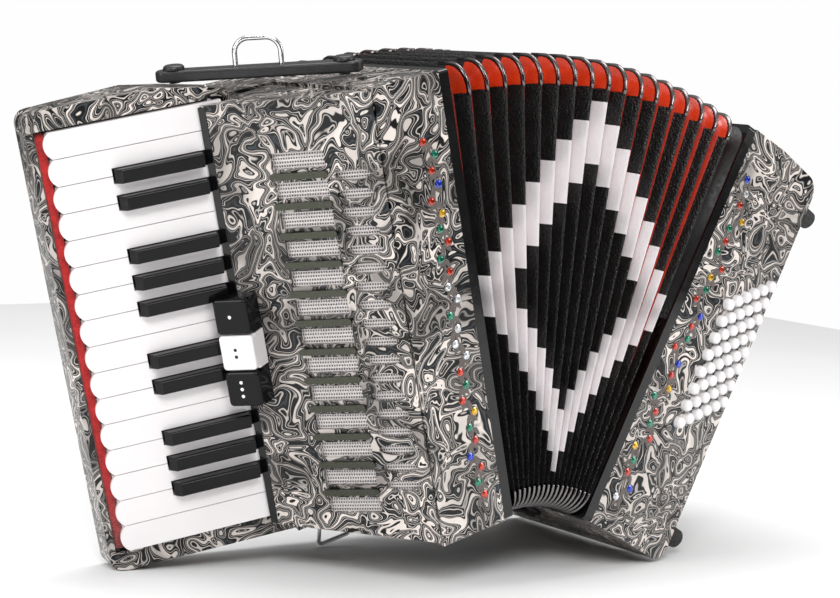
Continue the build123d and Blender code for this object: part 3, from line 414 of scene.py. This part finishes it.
# ---- bellows -----------------------------------------------------------------------------------
BELLOWS_LOW = FAN_RADIUS
BELLOWS_HIGH = FAN_RADIUS + HEIGHT
CORNER = 17.0
FOLD_DEPTH = 20.0
ARC_STEPS = 6
TAPE_LOW = FAN_RADIUS + 18.0
TAPE_HIGH = BELLOWS_HIGH - 20.0
TAPE_MIDDLE = (TAPE_LOW + TAPE_HIGH) / 2
DIAMOND_HALF = 134.0      # half height of the white ring on the middle fold
DIAMOND_STEP = 14.9       # how much less it is on each fold further out
DIAMOND_BAND = 45.0       # height of the white band
MIDDLE_FOLD = 9
BLACK, WHITE, RED, VALLEY, METAL, CARD = range(6)
SKIN_PAINTS = [tape_black, tape_white, gusset_red, valley_red, gunmetal, card_black]
TAPE_END = 12.0           # how far the tape reaches down a slope
TAPE_SHORTER = 0.62       # and how much less on each fold past the middle, towards the bass side
RIDGE_SHARE, RIDGE_INSET = 0.10, 2.0    # where the ridge's rounding ends
SLOPE = 44.0              # inset gained over one plane's spacing on the tape's slope
# (share of the way to the next plane, inset) of the slopes that are glued to the two frames
FRAME_ROWS = [(0.0, 2.0), (0.25, 10.0), (0.43, 16.5), (0.5, FOLD_DEPTH)]
TAPE_ROWS = 4             # steps of ridge_rows that the tape covers


def fan_point(plane, y, radius):
    """World point on a fold plane, at a distance from the fan's apex line."""
    turn = plane / PLANES * FAN - LEAN
    return APEX + MM * Vector((radius * sin(turn), y, radius * cos(turn)))


def diamond_edges(fold):
    """Distances from the tape's middle where the white starts and ends on a fold: inner, outer."""
    outer = DIAMOND_HALF - DIAMOND_STEP * abs(fold - MIDDLE_FOLD)
    return max(0.0, outer - DIAMOND_BAND), outer


def fold_outline(inset, fold):
    """(y, radius) points round a fold from the front's lower corner, and the kind of each step."""
    corner = max(3.0, CORNER - 0.7 * inset)
    low, high, front, back = BELLOWS_LOW + inset, BELLOWS_HIGH - inset, FRONT + inset, BACK - inset
    inner, outer = diamond_edges(fold)
    cuts = [TAPE_LOW, *(TAPE_MIDDLE + reach for reach in (-outer, -inner, inner, outer)), TAPE_HIGH]
    kinds_between = [BLACK, WHITE, BLACK, WHITE, BLACK]
    points, kinds = [], []

    def arc(centre_y, centre_r, start, kind):
        for step in range(ARC_STEPS + 1):
            angle = start - step / ARC_STEPS * pi / 2
            points.append((centre_y + corner * cos(angle), centre_r + corner * sin(angle)))
            kinds.append(kind)

    arc(front + corner, low + corner, 1.5 * pi, METAL)
    for cut, kind in zip(cuts, [*kinds_between, RED]):
        points.append((front, min(max(cut, low + corner), high - corner)))
        kinds.append(kind)
    arc(front + corner, high - corner, pi, RED)
    points.append((front + corner + 4, high))
    kinds.append(BLACK)
    arc(back - corner, high - corner, pi / 2, RED)
    arc(back - corner, low + corner, 0.0, METAL)
    kinds[len(points) - 2 * (ARC_STEPS + 1) + ARC_STEPS] = BLACK
    kinds[-1] = BLACK
    return points, kinds


def half_fold(plane, towards, rows, fold, has_tape):
    """One slope of a fold, from its ridge at a plane to the valley, half a plane on: its points,
    its faces and the number of each face's material."""
    rings = []
    for share, inset in rows:
        outline, kinds = fold_outline(inset, fold)
        rings.append([fan_point(plane + towards * share, y, radius) for y, radius in outline])
    points, faces = sweep(rings, caps=False)
    if towards < 0:
        faces = [tuple(reversed(face)) for face in faces]
    count = len(kinds)
    choices = []
    for row in range(len(rows) - 1):
        for step in range(count):
            if has_tape and row < TAPE_ROWS:
                choices.append(kinds[step])
            else:
                choices.append(VALLEY if has_tape else CARD)
    return points, faces, choices


def plane_normal(plane):
    turn = plane / PLANES * FAN - LEAN
    return Vector((cos(turn), 0, -sin(turn)))


def blend_skin(obj):
    """Bakes the transform of a skin that spans from one fold plane to the next into its points."""
    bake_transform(obj)


def blend_plane(obj):
    """Bakes the transform of a piece that sits on one fold plane into its points."""
    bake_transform(obj)


def ridge_rows(fold):
    """(share of the way to the next plane, inset) from a fold's ridge down to its valley."""
    end = TAPE_END - TAPE_SHORTER * max(0, fold - MIDDLE_FOLD)
    share = RIDGE_SHARE + (end - RIDGE_INSET) / SLOPE
    return [
        (0.0, 0.0), (0.05, 0.5), (RIDGE_SHARE, RIDGE_INSET),
        ((RIDGE_SHARE + share) / 2, (RIDGE_INSET + end) / 2), (share, end),
        (share + 0.02, end + 0.4), (0.5, FOLD_DEPTH),
    ]


for plane in range(PLANES):
    first_rows = FRAME_ROWS if plane == 0 else ridge_rows(plane)
    last_rows = FRAME_ROWS if plane == PLANES - 1 else ridge_rows(plane + 1)
    near = half_fold(plane, 1, first_rows, plane, plane > 0)
    far = half_fold(plane + 1, -1, last_rows, plane + 1, plane + 1 < PLANES)
    points, faces = join([near[:2], far[:2]])
    skin = piece(f"bellows_fold_skin_{plane + 1:02d}", points, faces, SKIN_PAINTS, choices=near[2] + far[2])
    blend_skin(skin)

# Metal protectors over the ridges' corners: smoky chrome above, gunmetal below.
GUARD_HALF = 1.3
GUARD_FLARE = 0.45        # both together are under half the spacing of the closed folds
GUARD_PROUD = 0.9
GUARD_DROP = 3.0
GUARD_WAIST = -0.8
GUARD_STEPS = 8
LOW_GUARD_SQUEEZE = 0.72  # width of the lower protectors, as a share of the upper ones'
# (height over the ridge, offset from the fold plane)
GUARD_SECTION = [
    (-GUARD_DROP, -GUARD_HALF - GUARD_FLARE), (GUARD_WAIST, -GUARD_HALF),
    (GUARD_PROUD - 0.2, -GUARD_HALF * 0.6), (GUARD_PROUD, 0), (GUARD_PROUD - 0.2, GUARD_HALF * 0.6),
    (GUARD_WAIST, GUARD_HALF), (-GUARD_DROP, GUARD_HALF + GUARD_FLARE),
]


def guard(plane, y_sign, top, leg, across):
    """A channel bent round one corner of a fold's ridge, with a straight leg on each side."""
    rings = []
    sign = 1 if top else -1
    level = BELLOWS_HIGH if top else BELLOWS_LOW
    centre = (y_sign * (BACK - CORNER), level - sign * CORNER)
    turns = [0.0] + [step / GUARD_STEPS * pi / 2 for step in range(GUARD_STEPS + 1)] + [pi / 2]
    normal = plane_normal(plane)
    squeeze = 1.0 if top else LOW_GUARD_SQUEEZE
    for number, turn in enumerate(turns):
        out = Vector((y_sign * cos(turn), sign * sin(turn)))
        spot = Vector(centre) + CORNER * out
        if number == 0:
            spot.y -= sign * leg
        if number == len(turns) - 1:
            spot.x -= y_sign * across
        ring = []
        for proud, offset in GUARD_SECTION:
            y, radius = spot + out * proud
            ring.append(fan_point(plane, y, radius) + normal * (offset * squeeze * MM))
        rings.append(ring)
    return sweep(rings, caps=True)


for plane in range(1, PLANES):
    top = join([guard(plane, y_sign, True, 4.0, 14.0) for y_sign in (-1, 1)])
    low = join([guard(plane, y_sign, False, 1.0, 4.0) for y_sign in (-1, 1)])
    points, faces = join([top, low])
    choices = [0] * len(top[1]) + [1] * len(low[1])
    guards = piece(
        f"fold_corner_guards_{plane:02d}", points, faces, [smoky_chrome, gunmetal], choices=choices,
    )
    if plane % PACK_STEP == 0:
        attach(guards, f"fold_pack_{plane // PACK_STEP}")
        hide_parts(f"bellows_fold_pack_{plane // PACK_STEP}")
    else:
        blend_plane(guards)

# ---- rhinestones and vine on both sides of the bellows -------------------------------------------
GEM_COLOURS = {
    "red": (0.62, 0.03, 0.003), "green": (0.0, 0.24, 0.13), "blue": (0.004, 0.05, 0.62),
    "yellow": (0.85, 0.50, 0.01), "clear": (0.80, 0.82, 0.85),
}
TREBLE_GEMS = (
    "red green red blue red yellow green red green red clear clear green clear clear clear "
    "red green red yellow green red blue red green red"
)
BASS_GEMS = (
    "blue clear red yellow green red green red yellow green red blue red green red blue red "
    "yellow green red green red yellow green red blue clear"
)
GEM_RADIUS = 2.9
GEM_HEIGHT = 1.5
GEM_SIDES = 8
GEM_CUT = ((1.0, 0.1, 0.0), (1.0, 0.35, 0.0), (0.78, 0.75, 0.5), (0.48, 1.0, 0.0))
GEM_OFFSET = 3.0          # of the stones from the vine, by turns left and right
SETTING_RIM = ((1.0, 0.05), (1.2, 0.05), (1.14, 0.4), (1.02, 0.5))
VINE_SAMPLES = 160
VINE_SECTION = [(-0.9, 0.05), (0.9, 0.05), (0.9, 0.3), (-0.9, 0.3)]
LEAF_ACROSS, LEAF_DROP, LEAF_TILT = 2.6, -4.4, 0.6
LEAF_LENGTH, LEAF_WIDTH, LEAF_SIDES = 7.6, 5.4, 12
LEAF_LOW, LEAF_HIGH = 0.05, 0.28
GEM_PAINTS = {}
for colour_name, colour in GEM_COLOURS.items():
    gem_paint = Paint(
        f"rhinestone_{colour_name}", Roughness=0.04, IOR=1.7, Coat_Weight=1.0, Coat_Roughness=0.02,
        Metallic=0.55,
    )
    depth = gem_paint.noise(gem_paint.place(), 700.0, 1.0).outputs["Fac"]
    gem_dark = tuple(c * 0.45 for c in colour)
    gem_paint.set("Base Color", gem_paint.ramp(depth, [(0.35, gem_dark), (0.6, colour)]))
    GEM_PAINTS[colour_name] = gem_paint.material


def gem(centre, across, up, out):
    """A cut stone: girdle, crown facets and a flat table."""
    rings = []
    for radius, height, turn in GEM_CUT:
        ring = []
        for k in range(GEM_SIDES):
            angle = (k + turn) / GEM_SIDES * tau
            spoke = across * cos(angle) + up * sin(angle)
            ring.append(centre + spoke * (radius * GEM_RADIUS * MM) + out * (height * GEM_HEIGHT * MM))
        rings.append(ring)
    return sweep(rings)


def leaf(centre, heading, across, up, out, length, width):
    """A small flat leaf with a thin edge."""
    rim = []
    for angle in circle(LEAF_SIDES):
        a, b = length / 2 * cos(angle), width / 2 * sin(angle) * (0.6 + 0.4 * cos(angle))
        spoke = across * (a * cos(heading) - b * sin(heading)) + up * (a * sin(heading) + b * cos(heading))
        rim.append(centre + spoke * MM)
    return sweep([[p + out * (height * MM) for p in rim] for height in (LEAF_LOW, LEAF_HIGH)])


def decorate(label, share, middle, swing, low, high, names, body):
    """A row of stones along a wavy vine with leaves."""
    turn = side(share).to_3x3()
    across, up, out = turn @ Vector((1, 0, 0)), turn @ Vector((0, 0, 1)), turn @ Vector((0, -1, 0))
    names = names.split()
    step = (high - low) / (len(names) - 1)

    def vine(z):
        return middle + swing * sin((z - low) / step * pi / 2.2)

    ribbon = []
    for k in range(VINE_SAMPLES + 1):
        z = low + (high - low) * k / VINE_SAMPLES
        ribbon.append(at(share, vine(z), FRONT, z))
    parts = [bar(VINE_SECTION, ribbon, across, out)]
    for number in range(len(names)):
        z = high - number * step
        spot = at(share, vine(z), FRONT, z)
        for hand in (-1, 1):
            near = spot + across * (hand * LEAF_ACROSS * MM) + up * (LEAF_DROP * MM)
            parts.append(leaf(near, pi / 2 + hand * LEAF_TILT, across, up, out, LEAF_LENGTH, LEAF_WIDTH))
    vine_piece = piece(f"{label}_vine", *join(parts), [vine_metal], body, smooth=False)
    settings = []
    for colour_name in GEM_COLOURS:
        stones = []
        for number, wanted in enumerate(names):
            if wanted != colour_name:
                continue
            z = high - number * step
            spot = at(share, vine(z) + (GEM_OFFSET if number % 2 else -GEM_OFFSET), FRONT, z)
            stones.append(gem(spot, across, up, out))
            rings = []
            for k in range(GEM_SIDES * 2 + 1):
                angle = k / (GEM_SIDES * 2) * tau
                spoke = across * cos(angle) + up * sin(angle)
                rings.append([spot + spoke * (r * GEM_RADIUS * MM) + out * (h * MM) for r, h in SETTING_RIM])
            settings.append(sweep(rings, caps=False))
        obj = piece(
            f"{label}_stones_{colour_name}", *join(stones), [GEM_PAINTS[colour_name]], body, smooth=False,
        )
    obj = piece(f"{label}_stone_settings", *join(settings), [gunmetal], body)


decorate("treble", 0, -25.0, 2.0, 25.0, 281.0, TREBLE_GEMS, "treble")
decorate("bass", 1, 24.0, 4.0, 26.0, 288.0, BASS_GEMS, "bass")

# ---- trim round the keyboard -----------------------------------------------------------------------
GRILLE_LOW_EDGE = 18.0
GRILLE_HIGH_EDGE = 322.0
edge_path = [on_grille(GRILLE_LENGTH - 1.4, z) for z in (GRILLE_LOW_EDGE, 170.0, GRILLE_HIGH_EDGE)]
edge_skin = bar(rounded_rectangle(5.6, 0.9, 0.4), edge_path, GRILLE_RUN_WORLD, GRILLE_OUT_WORLD)
edge = piece("grille_edge_strip", *edge_skin, [lacquer], "treble", smooth=False)

KEY_OUT_WORLD = TREBLE_TURN @ Vector((-sin(KEYBOARD_TURN), -cos(KEYBOARD_TURN), 0))
FELT_U = 108.9
FELT_W = -11.4            # below the lips of fully pressed keys
felt_x, felt_y = keyboard_point(FELT_U, FELT_W)
felt_path = [at(0, felt_x, felt_y, z) for z in (23.0, 100.0, 200.0, 300.0, 324.0)]
felt_skin = bar(rounded_rectangle(6.6, 5.0, 1.5), felt_path, KEY_RUN_WORLD, KEY_OUT_WORLD)
felt_strip = piece("key_front_felt", *felt_skin, [felt], "treble")

# Dots on the register switches stand for the tongues that each one opens.
DOT_RADIUS = 1.25
DOT_SPACING = 5.0
DOT_RINGS = ((1.0, 0.02), (1.0, 0.16), (0.8, 0.26))
SWITCH_TOP = 21.5
SWITCH_MIDDLE = 152.5
SWITCH_PITCH = 26.2
for number in range(3):
    middle = SWITCH_MIDDLE + (1 - number) * SWITCH_PITCH
    dots = []
    for k in range(number + 1):
        z = middle + (k - number / 2) * DOT_SPACING
        spot = on_grille(GRILLE_LENGTH - 6, z, SWITCH_TOP)
        rings = []
        for radius, height in DOT_RINGS:
            spokes = [GRILLE_RUN_WORLD * cos(a) + TREBLE_UP * sin(a) for a in circle(20)]
            lift = GRILLE_OUT_WORLD * (height * MM)
            rings.append([spot + spoke * (radius * DOT_RADIUS * MM) + lift for spoke in spokes])
        dots.append(sweep(rings))
    paint = lacquer if number == 1 else button_white
    marks = piece(f"register_dots_{number + 1}", *join(dots), [paint], f"switch_{number + 1}", smooth=False)

# ---- straps --------------------------------------------------------------------------------------
BASS_OUT = 102.0
STRAP_Y = 30.0
STRAP_LOW = 52.0
STRAP_BULGE = 27.0
STRAP_STEPS = 40
STITCH_INSET = 3.0        # from the strap's long edges
STITCH_SHARE = 0.0045     # half a stitch, as a share of the strap
STITCH_PLACES = 62
BASS_X_WORLD = BASS_TURN @ Vector((1, 0, 0))
BASS_Y_WORLD = Vector((0, 1, 0))


def strap_spot(share, y, lift):
    """A point of the hand strap: share runs from its lower to its upper end."""
    z = STRAP_LOW + (HEIGHT - 2 * STRAP_LOW) * share
    x = BASS_OUT + 0.8 + STRAP_BULGE * sin(pi * share) ** 0.8 + lift
    return at(1, x, y, z)


def strap_half(share):
    """Half the strap's width, which is greatest at the middle."""
    return 19.0 + 7.0 * sin(pi * share)


strap_rings = []
for step in range(STRAP_STEPS + 1):
    share = step / STRAP_STEPS
    section = rounded_rectangle(2 * strap_half(share), 3.2, 1.5)
    strap_rings.append([strap_spot(share, STRAP_Y + a, b) for a, b in section])
hand_strap = piece("hand_strap_leather", *sweep(strap_rings), [leather], "bass")
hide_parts("hand_strap")
stitches = []
for edge_side in (-1, 1):
    for step in range(2, STITCH_PLACES - 2):
        share = step / STITCH_PLACES
        y = STRAP_Y + edge_side * (strap_half(share) - STITCH_INSET)
        ends = [strap_spot(share + d, y, 1.75) for d in (-STITCH_SHARE, STITCH_SHARE)]
        stitches.append(bar(rounded_rectangle(0.5, 0.7, 0.2, 2), ends, BASS_X_WORLD, BASS_Y_WORLD))
stitching = piece("hand_strap_stitches", *join(stitches), [thread], "bass")

BELT_REACH = 26.0         # past the bellows on both sides, to the snaps
BELT_STEPS = 24
SNAP_RINGS = ((11.0, 0.2), (11.0, 2.2), (8.0, 3.0), (7.0, 5.0), (4.5, 5.8))
belt_start, belt_end = at(0, -BELT_REACH, 0, -1.6), at(1, BELT_REACH, 0, -1.6)
belt_path = [belt_start.lerp(belt_end, k / BELT_STEPS) for k in range(BELT_STEPS + 1)]
belt_skin = bar(rounded_rectangle(16.0, 1.8, 0.8), belt_path, BASS_Y_WORLD, Vector((0, 0, 1)))
belt = piece("bottom_bellows_belt", *belt_skin, [leather])
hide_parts("bottom_bellows_strap")
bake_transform(belt)
snap_rings = []
for radius, drop in SNAP_RINGS:
    snap_rings.append([at(1, BELT_REACH + radius * cos(a), radius * sin(a), -drop) for a in circle(28)])
snap = piece("bottom_snap_base", *sweep(snap_rings), [satin_black], "bass")

# ---- floor, light and camera ------------------------------------------------------------------------
floor_paint = Paint("pale_floor", Roughness=0.8)
floor_tone = floor_paint.noise(floor_paint.place(), 3.0, 2.0).outputs["Fac"]
floor_paint.set("Base Color", floor_paint.ramp(floor_tone, [(0.3, 0.86), (0.7, 0.89)]))
FLOOR_HALF = 1.5
floor_corners = [(x * FLOOR_HALF, y * FLOOR_HALF, 0) for x, y in ((-1, -1), (1, -1), (1, 1), (-1, 1))]
floor = piece("floor", floor_corners, [(0, 1, 2, 3)], [floor_paint.material])

# The camera sees an even pale backdrop; reflections see a dim horizon and a bright sky.
world = bpy.data.worlds.new("studio")
bpy.context.scene.world = world
world.use_nodes = True
sky = world.node_tree
sky_height = sky.nodes.new("ShaderNodeSeparateXYZ")
sky.links.new(sky.nodes.new("ShaderNodeTexCoord").outputs["Generated"], sky_height.inputs[0])
sky_ramp = sky.nodes.new("ShaderNodeValToRGB")
sky.links.new(sky_height.outputs["Z"], sky_ramp.inputs[0])
DIM_HORIZON, BRIGHT_ABOVE, BACKDROP = 0.10, 0.85, 1.1
for element, position, tone in zip(sky_ramp.color_ramp.elements, (0.25, 0.75), (DIM_HORIZON, BRIGHT_ABOVE)):
    element.position = position
    element.color = (tone, tone, tone, 1)
sky_choice = sky.nodes.new("ShaderNodeMixRGB")
sky.links.new(sky.nodes.new("ShaderNodeLightPath").outputs["Is Camera Ray"], sky_choice.inputs["Fac"])
sky.links.new(sky_ramp.outputs["Color"], sky_choice.inputs["Color1"])
sky_choice.inputs["Color2"].default_value = (BACKDROP, BACKDROP, BACKDROP, 1)
sky.links.new(sky_choice.outputs["Color"], sky.nodes["Background"].inputs["Color"])
sky.nodes["Background"].inputs["Strength"].default_value = 0.9
bpy.context.scene.view_settings.view_transform = "Standard"


def softbox(name, place, target, size, power):
    light = bpy.data.lights.new(name, "AREA")
    light.shape = "RECTANGLE"
    light.size, light.size_y = size
    light.energy = power
    obj = bpy.data.objects.new(name, light)
    bpy.context.scene.collection.objects.link(obj)
    obj.location = place
    obj.rotation_euler = (Vector(target) - Vector(place)).to_track_quat("-Z", "Y").to_euler()


MIDDLE_OF_OBJECT = (0.0, 0.0, 0.18)
softbox("key_light", (-1.1, -1.6, 1.5), MIDDLE_OF_OBJECT, (0.9, 0.7), 27)
softbox("fill_light", (1.5, -1.3, 0.9), MIDDLE_OF_OBJECT, (0.6, 1.2), 14)
softbox("top_light", (0.1, 0.2, 1.9), MIDDLE_OF_OBJECT, (1.4, 0.7), 20)
softbox("side_light", (-1.7, 0.1, 0.7), MIDDLE_OF_OBJECT, (0.5, 1.1), 10)

CAMERA_PLACE = Vector((-0.9611, -1.2291, 0.3668))
CAMERA_AZIMUTH = radians(37.29)
CAMERA_ELEVATION = radians(-6.27)
CAMERA_ROLL = radians(3.04)
CAMERA_LENS = 91.3

ahead = Vector((
    sin(CAMERA_AZIMUTH) * cos(CAMERA_ELEVATION), cos(CAMERA_AZIMUTH) * cos(CAMERA_ELEVATION),
    sin(CAMERA_ELEVATION),
))
level = ahead.cross(Vector((0, 0, 1))).normalized()
upright = level.cross(ahead)
right = level * cos(CAMERA_ROLL) + upright * sin(CAMERA_ROLL)
above = upright * cos(CAMERA_ROLL) - level * sin(CAMERA_ROLL)
camera_data = bpy.data.cameras.new("camera")
camera_data.lens = CAMERA_LENS
camera_data.sensor_width = 36.0
camera = bpy.data.objects.new("camera", camera_data)
bpy.context.scene.collection.objects.link(camera)
camera.matrix_world = Matrix.Translation(CAMERA_PLACE) @ Matrix((right, above, -ahead)).transposed().to_4x4()
bpy.context.scene.camera = camera

bpy.context.view_layer.update()
